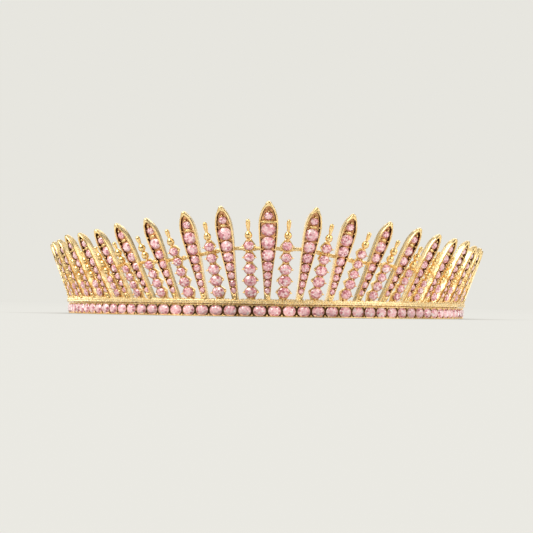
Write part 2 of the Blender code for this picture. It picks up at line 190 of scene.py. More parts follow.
# Columns, by place from the middle
COLUMN_ROWS = (
    dict(height=28.9, lean=1.8, finial=4.4, beads=1, stones=(3.3, 3.3, 3.8, 4.1, 4.0)),
    dict(height=27.7, lean=7.9, finial=3.9, beads=1, stones=(3.3, 3.3, 3.8, 4.0, 4.0)),
    dict(height=25.1, lean=14.1, finial=3.3, beads=1, stones=(3.1, 3.0, 3.2, 3.6, 3.7)),
    dict(height=22.7, lean=17.5, finial=3.1, beads=2, stones=(3.2, 3.2, 3.4, 3.4)),
    dict(height=20.7, lean=19.5, finial=2.8, beads=2, stones=(3.0, 3.0, 3.0, 3.0)),
    dict(height=19.2, lean=20.2, finial=2.5, beads=3, stones=(2.8, 2.8, 2.8)),
    dict(height=17.8, lean=20.4, finial=2.5, beads=3, stones=(3.4, 3.4)),
    dict(height=17.3, lean=20.2, finial=2.5, beads=3, stones=(3.1, 3.1)),
    dict(height=16.8, lean=19.8, finial=2.5, beads=3, stones=(2.8, 2.8)),
    dict(height=16.4, lean=19.2, finial=2.5, beads=3, stones=(2.5, 2.5)),
)
COLUMN_PLATE = 1.05
COLUMN_EDGE = 0.12
COLUMN_BACK_EDGE = 0.15
COLUMN_FOOT_SPACE = 1.05
COLUMN_NECK = 0.75
COLUMN_SEAT_DEPTH = 0.65
COLUMN_STONE_SHARE = 0.98
COLUMN_CUP_SINK = 0.05
COLUMN_CUP_LIP = 0.08
CLAW_SHARE = 1.36
CLAW_SHOULDER = 0.22
CLAW_POINT = 0.08
CLAW_RISE = 0.16
CLAW_GAP = 0.22
SIDE_DROP_X = 0.95
TOP_LINK_RISE = 0.2
NECK_HALF = 0.8

# A column's turned top: a foot by radius and height above the neck, egg-shaped beads, and
# a baluster by radius and share of its height
TOP_FOOT = ((0.55, -0.6), (0.45, 0.0))
BEAD_DIAMETER = 2.6
BEAD_HEIGHT = 2.95
BEAD_PITCH = 2.8
BEAD_SETTLE = 0.15
BEAD_EGG = 0.10
BEAD_STEPS = 10
BEAD_NECK_RADIUS = 0.42
BEAD_DEPTH = 1.05
FINIAL_SHAPE = ((0.44, 0.03), (0.48, 0.10), (0.57, 0.24), (0.67, 0.40), (0.76, 0.56),
                (0.79, 0.70), (0.73, 0.83), (0.58, 0.92), (0.34, 0.98), (0.08, 1.0))
TURN_SIDES = 20

# Cast drops on the blades and columns: radii across, up and out, steps round and along,
# depth behind the front or behind the stone's seat, and rise above the level they go by
DROPS = dict(
    blade_prong=dict(tone=POLISHED, radii=(0.34, 0.30, 0.36), sides=8, rings=5, depth=-0.15, rise=0.0),
    blade_top=dict(tone=POLISHED, radii=(0.38, 0.38, 0.38), sides=10, rings=6, depth=0.5, rise=0.35),
    blade_foot=dict(tone=POLISHED, radii=(0.62, 0.62, 0.50), sides=10, rings=6, depth=0.10, rise=-0.70),
    blade_heel=dict(tone=POLISHED, radii=(0.42, 0.42, 0.42), sides=10, rings=6, depth=0.0, rise=-1.70),
    column_claw=dict(tone=POLISHED, radii=(0.48, 0.30, 0.42), sides=10, rings=6, depth=-0.02, rise=0.0),
    column_link=dict(tone=POLISHED, radii=(0.55, 0.26, 0.42), sides=10, rings=6, depth=0.05, rise=0.0),
    column_side=dict(tone=CAST, radii=(0.36, 0.40, 0.40), sides=8, rings=6, depth=1.15, rise=0.0),
    column_foot=dict(tone=POLISHED, radii=(0.60, 0.30, 0.40), sides=10, rings=6, depth=0.10, rise=-0.05),
)

# Link wire: its height is a share of the blades beside it, by place from the middle
WIRE_RADIUS = 0.68
WIRE_SIDES = 10
WIRE_PARTS = 4
WIRE_SHARES = ((0.0, 0.51), (1.0, 0.53), (2.5, 0.46), (10.0, 0.44))
WIRE_BEHIND = 0.75
KNOT_REACH = 1.7
KNOT = dict(radii=(1.05, 0.92, 0.90), sides=12, rings=7)

# Stones: cut with a table, stars, kites and a ring of girdle facets
STONE_SIDES = 8
STONE_CROWN = 0.20
STONE_STRETCH = (1.09, 0.98)
STONE_TABLE = 0.52
STONE_TABLE_DIP = 0.97
STONE_STAR = 0.78
STONE_STAR_RISE = 0.62
STONE_GIRDLE = 0.10
STONE_UNDER = 0.97

# Cups: the share of the stone's radius at the foot, and the lip that closes on the girdle
CUP_FOOT_SHARE = 0.80
CUP_SHOULDER = 0.15
CUP_LIP_RISE = 0.05
CUP_LIP_LAP = 0.02
CUP_WALL = 0.10
CUP_WELL = 0.06
CUP_SIDES = 16

# Angle in degrees from which an edge of the gold stays sharp
GOLD_SHARP_ANGLE = 40

# Chances that a facet is painted light, painted shade or a painted glint; the rest are of the middle
# tone. A deeper stone shifts them by its depth of tone times the shift
FACET_CHANCES = dict(
    table=dict(light=0.50, light_shift=0.0, deep=0.20, deep_shift=1.0, spark=0.07),
    star=dict(light=0.40, light_shift=-1.0, deep=0.22, deep_shift=1.0, spark=0.14),
    kite=dict(light=0.10, light_shift=0.0, deep=0.56, deep_shift=0.5, spark=0.03),
    girdle=dict(light=0.80, light_shift=-1.0, deep=0.04, deep_shift=1.0, spark=0.08),
)
ROW_DEEPER = -0.20
BLADE_DEEPER = 0.02
COLUMN_DEEPER = 0.12

# Golds: bright and deep tone, roughness, the cast grain's strength and scale, and metal
GOLD_ROWS = (
    dict(name="gold_polished", bright=(0.98, 0.75, 0.40), deep=(0.90, 0.62, 0.26),
         roughness=0.13, grain=0.25, grain_scale=1600.0, metallic=1.0),
    dict(name="gold_cast", bright=(0.97, 0.73, 0.37), deep=(0.86, 0.57, 0.22),
         roughness=0.30, grain=0.8, grain_scale=2600.0, metallic=1.0),
    # Painted shade: a darker, coppery copy of the gold for the blades' channel floors and the stones'
    # cups
    dict(name="gold_painted_recess_shadow", bright=(0.80, 0.42, 0.20), deep=(0.45, 0.19, 0.08),
         roughness=0.32, grain=0.6, grain_scale=2200.0, metallic=1.0),
    # Painted shade: a near-black copy of the gold for the blades' channel walls and the row's floor
    dict(name="gold_painted_shade", bright=(0.16, 0.08, 0.035), deep=(0.08, 0.04, 0.02),
         roughness=0.45, grain=0.5, grain_scale=2200.0, metallic=1.0),
    dict(name="gold_mirror", bright=(0.96, 0.70, 0.34), deep=(0.90, 0.60, 0.25),
         roughness=0.09, grain=0.08, grain_scale=1200.0, metallic=1.0),
    # Painted light: a paler, less metallic copy of the gold for the side walls, the rail's ledge and
    # grains, and the wire
    dict(name="gold_painted_lit", bright=(1.0, 0.80, 0.47), deep=(0.95, 0.70, 0.34),
         roughness=0.28, grain=0.8, grain_scale=2400.0, metallic=0.80),
)
GOLD_PATCH_SCALE = 900.0
GOLD_PATCH_DETAIL = 2.0
GOLD_TONE_EDGES = (0.35, 0.60)
GOLD_GLOSS_EDGES = (0.35, 0.65)
GOLD_GRAIN_DETAIL = 3.0
GOLD_GRAIN_DEPTH = 0.0001
GOLD_DULLEST = 1.25
GOLD_GLOSSIEST = 0.80

# Stones' tones, painted lit, middle, shaded and glinting facets: bright and deep shade of the painted
# glints within each facet, and how metallic it looks
STONE_ROWS = (
    dict(name="rose_painted_lit", bright=(1.0, 0.72, 0.73), deep=(0.97, 0.55, 0.60), metallic=0.10),
    dict(name="rose_mid", bright=(1.0, 0.60, 0.63), deep=(0.90, 0.43, 0.49), metallic=0.12),
    dict(name="rose_painted_shade", bright=(0.78, 0.30, 0.35), deep=(0.54, 0.17, 0.22), metallic=0.18),
    dict(name="rose_painted_glint", bright=(1.0, 0.90, 0.89), deep=(1.0, 0.74, 0.75), metallic=0.10),
)
STONE_ROUGHNESS = 0.07
STONE_COAT_ROUGHNESS = 0.02
GLINT_SCALE = 1500.0
GLINT_DETAIL = 1.0
GLINT_EDGES = (0.40, 0.56)

# Camera, from a fit to the photograph
IMAGE_SIDE = 533
FOCAL_PIXELS = 1819.6
CAMERA_DISTANCE = 618.5
CAMERA_HEIGHT = 4.0
CAMERA_YAW = math.radians(0.31)
CAMERA_ROLL = math.radians(0.86)
FRONT_ROW_PIXEL = 317.05
CAMERA_CLIP = (0.01, 50.0)

# Floor, and the studio as the gold mirrors it: patches, and one dark side
PALE = (0.80, 0.79, 0.74)
FLOOR_RADIUS = 6.0
FLOOR_SIDES = 96
FLOOR_BASE = (0.02, 0.02, 0.02)
# Painted shadow on the floor near the tiara: its darkest tone, its reach and its samples
FLOOR_SHADE = (0.30, 0.27, 0.22)
FLOOR_SHADE_REACH = 0.03
FLOOR_SHADE_SAMPLES = 12
FLOOR_PATCH_SCALE = 40.0
FLOOR_PATCHES = (0.40, 1.85)
STUDIO_PATCH_SCALE = 2.6
STUDIO_PATCHES = (0.06, 1.45)
PATCH_DETAIL = 1.0
PATCH_EDGES = (0.43, 0.57)
STUDIO_FRONT = (0.42, 0.38, 0.31)
STUDIO_BACK = (0.98, 0.96, 0.90)
STUDIO_BACK_AT = 0.75
DARK_SIDE = (0.48, -0.86, 0.14)
DARK_SIDE_EDGES = (0.86, 0.95)
DARK_SIDE_LEVEL = 0.06

# Soft lights, all turned to one point of the tiara
LIGHT_TARGET = (0, 0, 0.02)
LIGHT_COLOUR = (1.0, 0.98, 0.95)
LIGHT_ROWS = (
    dict(name="key", place=(-0.55, -0.45, 0.75), size=(0.80, 0.80), power=9.0),
    dict(name="fill", place=(0.80, -0.50, 0.40), size=(0.9, 0.7), power=3.2),
    dict(name="back", place=(0.1, 0.8, 0.7), size=(0.9, 0.5), power=2.4),
)

# Axes of a blade or column: across it, up it and out of its front
X_AXIS = Vector((1, 0, 0))
Z_AXIS = Vector((0, 0, 1))
FORWARD = Vector((0, -1, 0))
FRONT_AXES = (X_AXIS, Z_AXIS, FORWARD)

centre_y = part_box("band")[0][1] / MM + RAIL_OUTER_RADIUS
rng = random.Random(7)


# Nodes that the materials, the floor and the studio share

def noise(tree, vector, scale, detail):
    """A soft noise between 0 and 1 over a vector."""
    texture = tree.nodes.new("ShaderNodeTexNoise")
    texture.inputs["Scale"].default_value = scale
    texture.inputs["Detail"].default_value = detail
    tree.links.new(vector, texture.inputs["Vector"])
    return texture.outputs["Fac"]


def colour_ramp(tree, factor, stops):
    """Colours between two stops, each a position and a colour."""
    node = tree.nodes.new("ShaderNodeValToRGB")
    for element, (position, colour) in zip(node.color_ramp.elements, stops):
        element.position = position
        element.color = colour + (1.0,)
    tree.links.new(factor, node.inputs["Fac"])
    return node.outputs["Color"]


def map_range(tree, value, source, target):
    """A value moved from one range to another and held inside it."""
    node = tree.nodes.new("ShaderNodeMapRange")
    node.inputs["From Min"].default_value, node.inputs["From Max"].default_value = source
    node.inputs["To Min"].default_value, node.inputs["To Max"].default_value = target
    tree.links.new(value, node.inputs["Value"])
    return node.outputs["Result"]


# Materials

def new_material(name, colour, roughness, metallic):
    """A material and its shader, for the others to build on."""
    material = bpy.data.materials.new(name)
    material.use_nodes = True
    shader = material.node_tree.nodes["Principled BSDF"]
    shader.inputs["Base Color"].default_value = colour + (1.0,)
    shader.inputs["Roughness"].default_value = roughness
    shader.inputs["Metallic"].default_value = metallic
    return material, shader


def gold_material(name, bright, deep, roughness, grain, grain_scale, metallic):
    """Plated gold: two tones and glosses in soft patches, with a fine cast grain."""
    material, shader = new_material(name, bright, roughness, metallic)
    tree = material.node_tree
    place = tree.nodes.new("ShaderNodeTexCoord").outputs["Object"]
    patches = noise(tree, place, GOLD_PATCH_SCALE, GOLD_PATCH_DETAIL)
    tones = colour_ramp(tree, patches, zip(GOLD_TONE_EDGES, (deep, bright)))
    gloss = map_range(tree, patches, GOLD_GLOSS_EDGES,
                      (roughness * GOLD_DULLEST, roughness * GOLD_GLOSSIEST))
    bump = tree.nodes.new("ShaderNodeBump")
    bump.inputs["Strength"].default_value = grain
    bump.inputs["Distance"].default_value = GOLD_GRAIN_DEPTH
    tree.links.new(noise(tree, place, grain_scale, GOLD_GRAIN_DETAIL), bump.inputs["Height"])
    tree.links.new(tones, shader.inputs["Base Color"])
    tree.links.new(gloss, shader.inputs["Roughness"])
    tree.links.new(bump.outputs["Normal"], shader.inputs["Normal"])
    return material


def stone_material(name, bright, deep, metallic):
    """Foil-backed crystal: painted glints shift the tone within each facet."""
    material, shader = new_material(name, bright, STONE_ROUGHNESS, metallic)
    shader.inputs["Coat Weight"].default_value = 1.0
    shader.inputs["Coat Roughness"].default_value = STONE_COAT_ROUGHNESS
    tree = material.node_tree
    place = tree.nodes.new("ShaderNodeTexCoord").outputs["Object"]
    glints = noise(tree, place, GLINT_SCALE, GLINT_DETAIL)
    tones = colour_ramp(tree, glints, zip(GLINT_EDGES, (deep, bright)))
    tree.links.new(tones, shader.inputs["Base Color"])
    return material


GOLDS = tuple(gold_material(**row) for row in GOLD_ROWS)
STONE_TONES = tuple(stone_material(**row) for row in STONE_ROWS)


# Mesh helpers, in millimetres

def ring(bm, points):
    """A loop of new corners, not yet joined to anything."""
    return [bm.verts.new(point) for point in points]


def wall(bm, lower, upper, tone):
    """Join two loops of the same length with a closed ring of quads."""
    count = len(lower)
    for i in range(count):
        face = bm.faces.new((lower[i], lower[(i + 1) % count], upper[(i + 1) % count], upper[i]))
        face.material_index = tone


def fill(bm, loop, tone):
    """Fill one outline with triangles."""
    for corners in tessellate_polygon([[vert.co for vert in loop]]):
        face = bm.faces.new([loop[index] for index in corners])
        face.material_index = tone


def circle(bm, centre, across, up, radii, sides):
    """A loop of points on an ellipse across its two axes."""
    angles = [math.tau * i / sides for i in range(sides)]
    return ring(bm, [centre + across * (radii[0] * math.cos(angle)) + up * (radii[1] * math.sin(angle))
                     for angle in angles])


def turned(bm, origin, axes, profile, sides, tone):
    """A closed turned form about the out axis, from (radius, height) pairs."""
    across, up, out = axes
    loops = [circle(bm, origin + out * height, across, up, (radius, radius), sides)
             for radius, height in profile]
    for lower, upper in zip(loops, loops[1:]):
        wall(bm, lower, upper, tone)
    for loop in (loops[0], loops[-1]):
        bm.faces.new(loop).material_index = tone


def ball(bm, centre, axes, tone, radii, sides, rings):
    """An ellipsoid with its own three radii."""
    across, up, out = axes
    loops = []
    for j in range(1, rings):
        polar_angle = math.pi * j / rings
        share, height = math.sin(polar_angle), -math.cos(polar_angle)
        loops.append(circle(bm, centre + out * (radii[2] * height), across, up,
                            (radii[0] * share, radii[1] * share), sides))
    for lower, upper in zip(loops, loops[1:]):
        wall(bm, lower, upper, tone)
    for loop, end in ((loops[0], -1), (loops[-1], 1)):
        pole = bm.verts.new(centre + out * (radii[2] * end))
        for i in range(sides):
            face = bm.faces.new((loop[i], loop[(i + 1) % sides], pole))
            face.material_index = tone


def drop(bm, kind, x, level, seat_depth=0.0):
    """A cast drop on a blade or column, near a level of its axis."""
    row = DROPS[kind]
    centre = Vector((x, seat_depth + row["depth"], level + row["rise"]))
    ball(bm, centre, FRONT_AXES, row["tone"], row["radii"], row["sides"], row["rings"])


def tube(bm, points, radius, sides, tone):
    """A round bar with closed ends along a line of points."""
    loops = []
    for i, point in enumerate(points):
        forward = (points[min(i + 1, len(points) - 1)] - points[max(i - 1, 0)]).normalized()
        upright = (Z_AXIS - forward * forward.z).normalized()
        loops.append(circle(bm, point, forward.cross(upright), upright, (radius, radius), sides))
    for here, there in zip(loops, loops[1:]):
        wall(bm, here, there, tone)
    for loop in (loops[0], loops[-1]):
        bm.faces.new(loop).material_index = tone


def make_piece(name, bm, matrix, materials, node, smooth_angle):
    """Turn a mesh into a piece that stands for one CAD node."""
    bmesh.ops.recalc_face_normals(bm, faces=bm.faces)
    bm.transform(Matrix.Scale(MM, 4) @ matrix)
    mesh = bpy.data.meshes.new(name)
    bm.to_mesh(mesh)
    bm.free()
    for material in materials:
        mesh.materials.append(material)
    if smooth_angle:
        for polygon in mesh.polygons:
            polygon.use_smooth = True
        mesh.set_sharp_from_angle(angle=math.radians(smooth_angle))
    piece = bpy.data.objects.new(name, mesh)
    bpy.context.scene.collection.objects.link(piece)
    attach(piece, "root")
    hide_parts(node)


def make_gold(name, bm, node, matrix=Matrix.Identity(4)):
    """Gold, smoothed up to its sharp edges."""
    make_piece(name, bm, matrix, GOLDS, node, GOLD_SHARP_ANGLE)


def make_stones(name, bm, node, matrix=Matrix.Identity(4)):
    """Stones, whose facets stay flat."""
    make_piece(name, bm, matrix, STONE_TONES, node, 0)


# Stones

def tone_of(kind, deeper):
    """Draw the painted light, shade or glint of one facet of a kind."""
    chances = FACET_CHANCES[kind]
    spark = chances["spark"]
    light = chances["light"] + chances["light_shift"] * deeper
    deep = chances["deep"] + chances["deep_shift"] * deeper
    draw = rng.random()
    if draw < spark:
        return GLINT_FACET
    if draw < spark + light:
        return LIGHT
    if draw < spark + light + deep:
        return SHADED_FACET
    return MID


def stone(bm, seat, radius, deeper):
    """A cut stone on a seat, which is a girdle centre and its across, up and out axes."""
    centre, across, up, out = seat
    turn = rng.uniform(0, math.tau / STONE_SIDES)
    crown = 2 * radius * STONE_CROWN

    def point(share, height, step):
        angle = turn + math.tau * step / STONE_SIDES
        return (centre + across * (radius * share * math.cos(angle))
                + up * (radius * share * math.sin(angle)) + out * height)

    def facet(verts, tone):
        bm.faces.new(verts).material_index = tone

    table = ring(bm, [point(STONE_TABLE, crown, i) for i in range(STONE_SIDES)])
    middle = bm.verts.new(centre + out * (crown * STONE_TABLE_DIP))
    stars = ring(bm, [point(STONE_STAR, crown * STONE_STAR_RISE, i + 0.5)
                      for i in range(STONE_SIDES)])
    girdle = ring(bm, [point(1.0, 0.0, i / 2) for i in range(2 * STONE_SIDES)])
    under = ring(bm, [point(STONE_UNDER, -STONE_GIRDLE, i / 2) for i in range(2 * STONE_SIDES)])
    # Each facet is painted lit, middle, shaded or glinting
    for i in range(STONE_SIDES):
        after = (i + 1) % STONE_SIDES
        facet((table[i], table[after], middle), tone_of("table", deeper))
        facet((table[i], table[after], stars[i]), tone_of("star", deeper))
        facet((table[i], stars[i - 1], girdle[2 * i], stars[i]), tone_of("kite", deeper))
        facet((stars[i], girdle[2 * i], girdle[2 * i + 1]), tone_of("girdle", deeper))
        facet((stars[i], girdle[2 * i + 1], girdle[2 * after]), tone_of("girdle", deeper))
    # The underside is painted shade
    wall(bm, under, girdle, SHADED_FACET)
    facet(under, SHADED_FACET)


def cup(bm, seat, radius, depth, tone, lip):
    """The metal cup under a stone, whose thin lip closes round the girdle."""
    centre, *axes = seat
    profile = ((radius * CUP_FOOT_SHARE, -depth), (radius + lip, -STONE_GIRDLE - CUP_SHOULDER),
               (radius + lip, CUP_LIP_RISE), (radius - CUP_LIP_LAP, 2 * CUP_LIP_RISE),
               (radius - CUP_WALL, -CUP_WELL))
    turned(bm, centre, axes, profile, CUP_SIDES, tone)


# Places and axes

def polar(radius, angle, height):
    """A place round the base; the angle runs from the middle of the front to the right."""
    return Vector((radius * math.sin(angle), centre_y - radius * math.cos(angle), height))


def outwards(angle):
    """The direction away from the base's centre."""
    return Vector((math.sin(angle), -math.cos(angle), 0.0))


def between(table, value):
    """The value of a table of pairs at one place, on straight lines between its rows."""
    for (low, low_value), (high, high_value) in zip(table, table[1:]):
        if value <= high:
            return low_value + (high_value - low_value) * (value - low) / (high - low)
    return table[-1][1]


def fringe_angle(place):
    """The angle of a blade or column, counted from the middle blade."""
    return FRINGE_PITCH * place * (1.0 - FRINGE_CLOSING * abs(place))


def row_angle(place):
    """The angle of a place in the row, counted in stones from the middle."""
    return ROW_FIRST_PITCH * place * (1.0 - ROW_CLOSING * abs(place))


def piece_matrix(place, lean):
    """Places a blade or column: x along the base, y inwards, z up its leaning axis."""
    angle = fringe_angle(place)
    along = Vector((math.cos(angle), math.sin(angle), 0.0))
    slant = Z_AXIS * math.cos(FLARE) + outwards(angle) * math.sin(FLARE)
    tilt = math.copysign(lean, place)
    x_axis = along * math.cos(tilt) - slant * math.sin(tilt)
    z_axis = slant * math.cos(tilt) + along * math.sin(tilt)
    y_axis = z_axis.cross(x_axis)
    rotation = Matrix((x_axis, y_axis, z_axis)).transposed()
    return Matrix.Translation(polar(FACE_RADIUS, angle, FOOT_LEVEL)) @ rotation.to_4x4()


def sunk_level(matrix, x, y):
    """Height on a piece's own axis at which a foot point lies just inside the rail."""
    level = RAIL_TOP - FOOT_SINK - FOOT_LEVEL
    return (level - x * matrix[2][0] - y * matrix[2][1]) / matrix[2][2]


def slanted(row):
    """A piece's length along its own leaning axis."""
    return row["height"] / math.cos(math.radians(row["lean"]))


def front_seat(depth, z):
    """A stone's seat on the middle line of a blade or column."""
    return (Vector((0.0, depth, z)), X_AXIS * STONE_STRETCH[0], Z_AXIS * STONE_STRETCH[1], FORWARD)


# Blades

def blade_half_width(at, length, widest):
    """Half the blade's width at a share of its length from the tip."""
    if at >= BLADE_WIDEST_AT:
        return BLADE_FOOT_HALF + (widest - BLADE_FOOT_HALF) * between(BLADE_TAPER, at)
    rise = (1.0 - (1.0 - at / BLADE_WIDEST_AT) ** 2) ** BLADE_TIP_ROUNDING
    half = BLADE_TIP_HALF + (widest - BLADE_TIP_HALF) * rise
    return min(half, math.sqrt(2 * BLADE_TIP_RADIUS * at * length))


def smooth_half(at, length, widest):
    """The half width with its corners rounded off by averaging close by."""
    reach = min(BLADE_SMOOTHING, at)
    samples = [blade_half_width(min(at + reach * step, 1.0), length, widest)
               for step in (-1.0, -0.5, 0.0, 0.5, 1.0)]
    return sum(samples) / len(samples)


def channel_half(at, length, widest):
    """Half the channel's width, a rim's thickness in from the slanting edge."""
    step = 0.01
    above = smooth_half(max(at - step, 0.0), length, widest)
    below = smooth_half(min(at + step, 1.0), length, widest)
    slope = (below - above) / (2 * step * length)
    return smooth_half(at, length, widest) - between(BLADE_RIMS, at) * math.sqrt(1 + slope * slope)


def eased(distance, easing):
    """A rise from 0 to 1 over the easing's reach, by its power."""
    reach, power = easing
    return min(distance / reach, 1.0) ** power


def blade_loops(length, widest):
    """The outer outline and the channel's outline, as (x, z) points in the same order."""
    outer, inner = [], []
    channel_end = 1.0 - CHANNEL_FOOT / length
    for i in range(BLADE_STEPS + 1):
        at = (i / BLADE_STEPS) ** BLADE_STEP_CROWDING
        outer.append((smooth_half(at, length, widest), length * (1.0 - at)))
        inside = CHANNEL_TOP_AT + (channel_end - CHANNEL_TOP_AT) * at
        opening = eased(inside - CHANNEL_TOP_AT, CHANNEL_OPENING)
        closing = max(eased(channel_end - inside, CHANNEL_CLOSING), CHANNEL_LEAST)
        half = channel_half(inside, length, widest) * opening * closing
        inner.append((half, length * (1.0 - inside)))
    both = []
    for side in (outer, inner):
        both.append(side + [(-x, z) for x, z in reversed(side[1:])])
    return both


def blade_stone_levels(length, diameters):
    """Heights of the stones: a bar's space under the first, then evenly parted."""
    first = length - (FIRST_STONE_DROP + FIRST_STONE_AT * length)
    span = first - LAST_STONE_LEVEL
    steps = [(a + b) / 2 for a, b in zip(diameters, diameters[1:])]
    steps[0] += FIRST_STONE_SPACE
    space = (span - sum(steps)) / len(steps)
    levels = [first]
    for step in steps:
        levels.append(levels[-1] - step - space)
    return levels


def blade_seat_depth(at):
    """The lower stones sit further forward, over the thinner rim."""
    tip_depth, foot_depth = BLADE_SEAT_DEPTHS
    return tip_depth + (foot_depth - tip_depth) * at


def blade_body(bm, matrix, length, widest):
    """The lance-shaped setting: a flat back, a rounded rim and a sunk channel."""
    outer, inner = blade_loops(length, widest)

    def loop(share, depth):
        points = []
        for (x0, z0), (x1, z1) in zip(outer, inner):
            x, z = x0 + (x1 - x0) * share, z0 + (z1 - z0) * share
            if z0 < BLADE_FOOT_ZONE:
                z = sunk_level(matrix, x, depth) + (z1 - z0) * share
            points.append((x, depth, z))
        return ring(bm, points)

    def back_loop(share, rise):
        verts = loop(share, PIECE_DEPTH - rise)
        for vert in verts:
            at = 1.0 - min(vert.co.z / length, 1.0)
            vert.co.y = PIECE_DEPTH * between(BLADE_TIP_DEPTHS, at) - rise
        return verts

    loops = [back_loop(share, rise) for share, rise in BLADE_BACK_LOOPS]
    loops += [loop(share, depth) for share, depth in RIM_SECTION]
    floor = ring(bm, [(x * (1.0 - CHANNEL_INSET / max(abs(x), CHANNEL_NARROW)), CHANNEL_DEPTH, z)
                      for x, z in inner])
    # The side walls are in the paler gold, painted light
    for i, (here, there) in enumerate(zip(loops, loops[1:])):
        wall(bm, here, there, PAINTED_LIT_GOLD if i < len(BLADE_BACK_LOOPS) else POLISHED)
    # The channel's walls are painted shade
    wall(bm, loops[-1], floor, PAINTED_SHADE)
    fill(bm, loops[0], CAST)
    # The channel's floor is in the darker recess gold, painted shade
    fill(bm, floor, PAINTED_RECESS_SHADOW)


def blade_drops(bm, place, length, widest, levels, diameters):
    """Prongs between the stones, a bar under the first, and drops above and below them."""
    gaps = [(upper - size / 2 + lower + after / 2) / 2
            for upper, lower, size, after in zip(levels, levels[1:], diameters, diameters[1:])]
    for gap in gaps:
        at = 1.0 - gap / length
        prong_x = channel_half(at, length, widest) - BLADE_PRONG_INSET
        for side in (-1, 1):
            drop(bm, "blade_prong", side * prong_x, gap, blade_seat_depth(at))
    reach = channel_half(1.0 - gaps[0] / length, length, widest)
    if place == 0:
        reach, depth = reach + MIDDLE_BAR_LAP, MIDDLE_BAR_DEPTH
    else:
        reach, depth = reach * BAR_SHARE, BAR_DEPTH
    ball(bm, Vector((0.0, depth, gaps[0])), FRONT_AXES, CAST, (reach, *BAR_THICKNESS),
         BAR_SIDES, BAR_RINGS)
    drop(bm, "blade_top", 0.0, levels[0] + diameters[0] / 2)
    foot = levels[-1] - diameters[-1] / 2
    drop(bm, "blade_foot", 0.0, foot)
    drop(bm, "blade_heel", 0.0, foot)


def make_blade(name, place, row):
    """One blade: its setting with cups and drops, and its string of stones."""
    matrix = piece_matrix(place, math.radians(row["lean"]))
    length = slanted(row)
    widest = row["width"] / 2
    diameters = row["stones"]
    levels = blade_stone_levels(length, diameters)
    bm = bmesh.new()
    stones = bmesh.new()
    blade_body(bm, matrix, length, widest)
    for diameter, level in zip(diameters, levels):
        at = 1.0 - level / length
        limit = smooth_half(at, length, widest) - BLADE_STONE_MARGIN
        radius = min(diameter / 2 * BLADE_STONE_SCALE, limit)
        seat = front_seat(blade_seat_depth(at), level)
        stone(stones, seat, radius, BLADE_DEEPER)
        # The cup's darker gold is painted shade round the stone
        cup(bm, seat, radius, BLADE_CUP_DEPTH, PAINTED_RECESS_SHADOW, BLADE_CUP_LIP)
    blade_drops(bm, place, length, widest, levels, diameters)
    make_gold(name + "_setting", bm, name, matrix)
    make_stones(name + "_stones", stones, name, matrix)


# Columns

def column_levels(length, row):
    """Heights of the stones from the top down, and of the beads above them."""
    diameters = row["stones"]
    level = length - row["finial"] - BEAD_PITCH / 2 + BEAD_SETTLE
    bead_levels = [level - BEAD_PITCH * i for i in range(row["beads"])]
    neck = bead_levels[-1] - BEAD_PITCH / 2 + BEAD_SETTLE - COLUMN_NECK
    first = neck - diameters[0] / 2
    last = COLUMN_FOOT_SPACE + diameters[-1] / 2
    step = (first - last) / (len(diameters) - 1)
    return [first - step * i for i in range(len(diameters))], bead_levels, neck


def finial_profile(length, finial, bead_levels, bottom):
    """The turned top: a neck, egg-shaped beads, and a baluster with a round end."""
    profile = [(radius, bottom + rise) for radius, rise in TOP_FOOT]
    for level in reversed(bead_levels):
        for step in range(1, BEAD_STEPS):
            angle = math.pi * step / BEAD_STEPS
            egg = 1.0 + BEAD_EGG * math.cos(angle)
            radius = max(BEAD_NECK_RADIUS, BEAD_DIAMETER / 2 * math.sin(angle) * egg)
            profile.append((radius, level - BEAD_HEIGHT / 2 * math.cos(angle)))
    start = length - finial
    profile += [(radius, start + finial * share) for radius, share in FINIAL_SHAPE]
    return profile


def column_body(bm, matrix, diameters, levels, necks, top):
    """The plate behind the stones, with a claw's corner at each side of every one."""
    side = [(NECK_HALF, top)]
    for diameter, level, below in zip(diameters, levels, necks):
        corner = CLAW_SHARE * diameter / 2
        side.append((corner - CLAW_SHOULDER, level + CLAW_RISE))
        side.append((corner - CLAW_POINT, level))
        side.append((corner - CLAW_SHOULDER, level - CLAW_RISE))
        side.append((NECK_HALF, below))
    outline = side + [(-x, z) for x, z in reversed(side)]

    def loop(depth, shrink):
        points = []
        for x, z in outline:
            x = math.copysign(abs(x) - shrink, x)
            points.append((x, depth, sunk_level(matrix, x, depth) if z < COLUMN_FOOT_ZONE else z))
        return ring(bm, points)

    loops = [loop(PIECE_DEPTH, COLUMN_EDGE), loop(PIECE_DEPTH - COLUMN_BACK_EDGE, 0.0),
             loop(COLUMN_PLATE + COLUMN_EDGE, 0.0), loop(COLUMN_PLATE, COLUMN_EDGE)]
    for here, there in zip(loops, loops[1:]):
        wall(bm, here, there, CAST)
    fill(bm, loops[0], CAST)
    fill(bm, loops[-1], CAST)


def column_drops(bm, diameters, levels, necks):
    """Claw heads beside the stones, and the cast drops above, between and below them."""
    for diameter, level in zip(diameters, levels):
        claw_x = diameter / 2 * STONE_STRETCH[0] + CLAW_GAP
        for side in (-1, 1):
            drop(bm, "column_claw", side * claw_x, level, COLUMN_SEAT_DEPTH)
    for level in necks[:-1] + [levels[0] + diameters[0] / 2 + TOP_LINK_RISE]:
        drop(bm, "column_link", 0.0, level, COLUMN_SEAT_DEPTH)
    for level in necks[:-1]:
        for side in (-1, 1):
            drop(bm, "column_side", side * SIDE_DROP_X, level)
    drop(bm, "column_foot", 0.0, levels[-1] - diameters[-1] / 2, COLUMN_SEAT_DEPTH)


